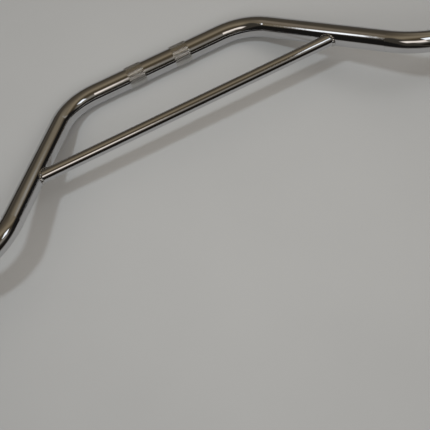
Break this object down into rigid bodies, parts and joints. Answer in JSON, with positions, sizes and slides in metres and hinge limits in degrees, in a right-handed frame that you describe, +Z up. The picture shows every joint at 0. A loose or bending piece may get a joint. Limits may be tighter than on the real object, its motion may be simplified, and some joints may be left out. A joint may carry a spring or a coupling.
{
  "type": "motorcycle handlebar",
  "caption": "Chromed tube handlebar with knurled clamp seats, high risers, swept-back grip ends and a cross brace welded between the risers; it lies on its seats and grip tips.",
  "frame": {"origin": "centre of the bar's outline on the surface it lies on, below the bar's mirror plane", "axes": "+X along the bar towards the grip end that is on the right when the bar is seen from its grip side (-Y), -Y from the clamped middle towards the grips, +Z up from the surface that it lies on"},
  "size_m": [0.84, 0.1724, 0.0796],
  "materials": {
    "tube_chrome": "bright chrome plate",
    "brace_chrome": "bright chrome plate",
    "weld_chrome": "rippled weld under chrome plate"
  },
  "bodies": {
    "root": {"handlebar_tube": "tube_chrome", "cross_brace": "brace_chrome", "weld_left": "weld_chrome", "weld_right": "weld_chrome"}
  },
  "joints": []
}
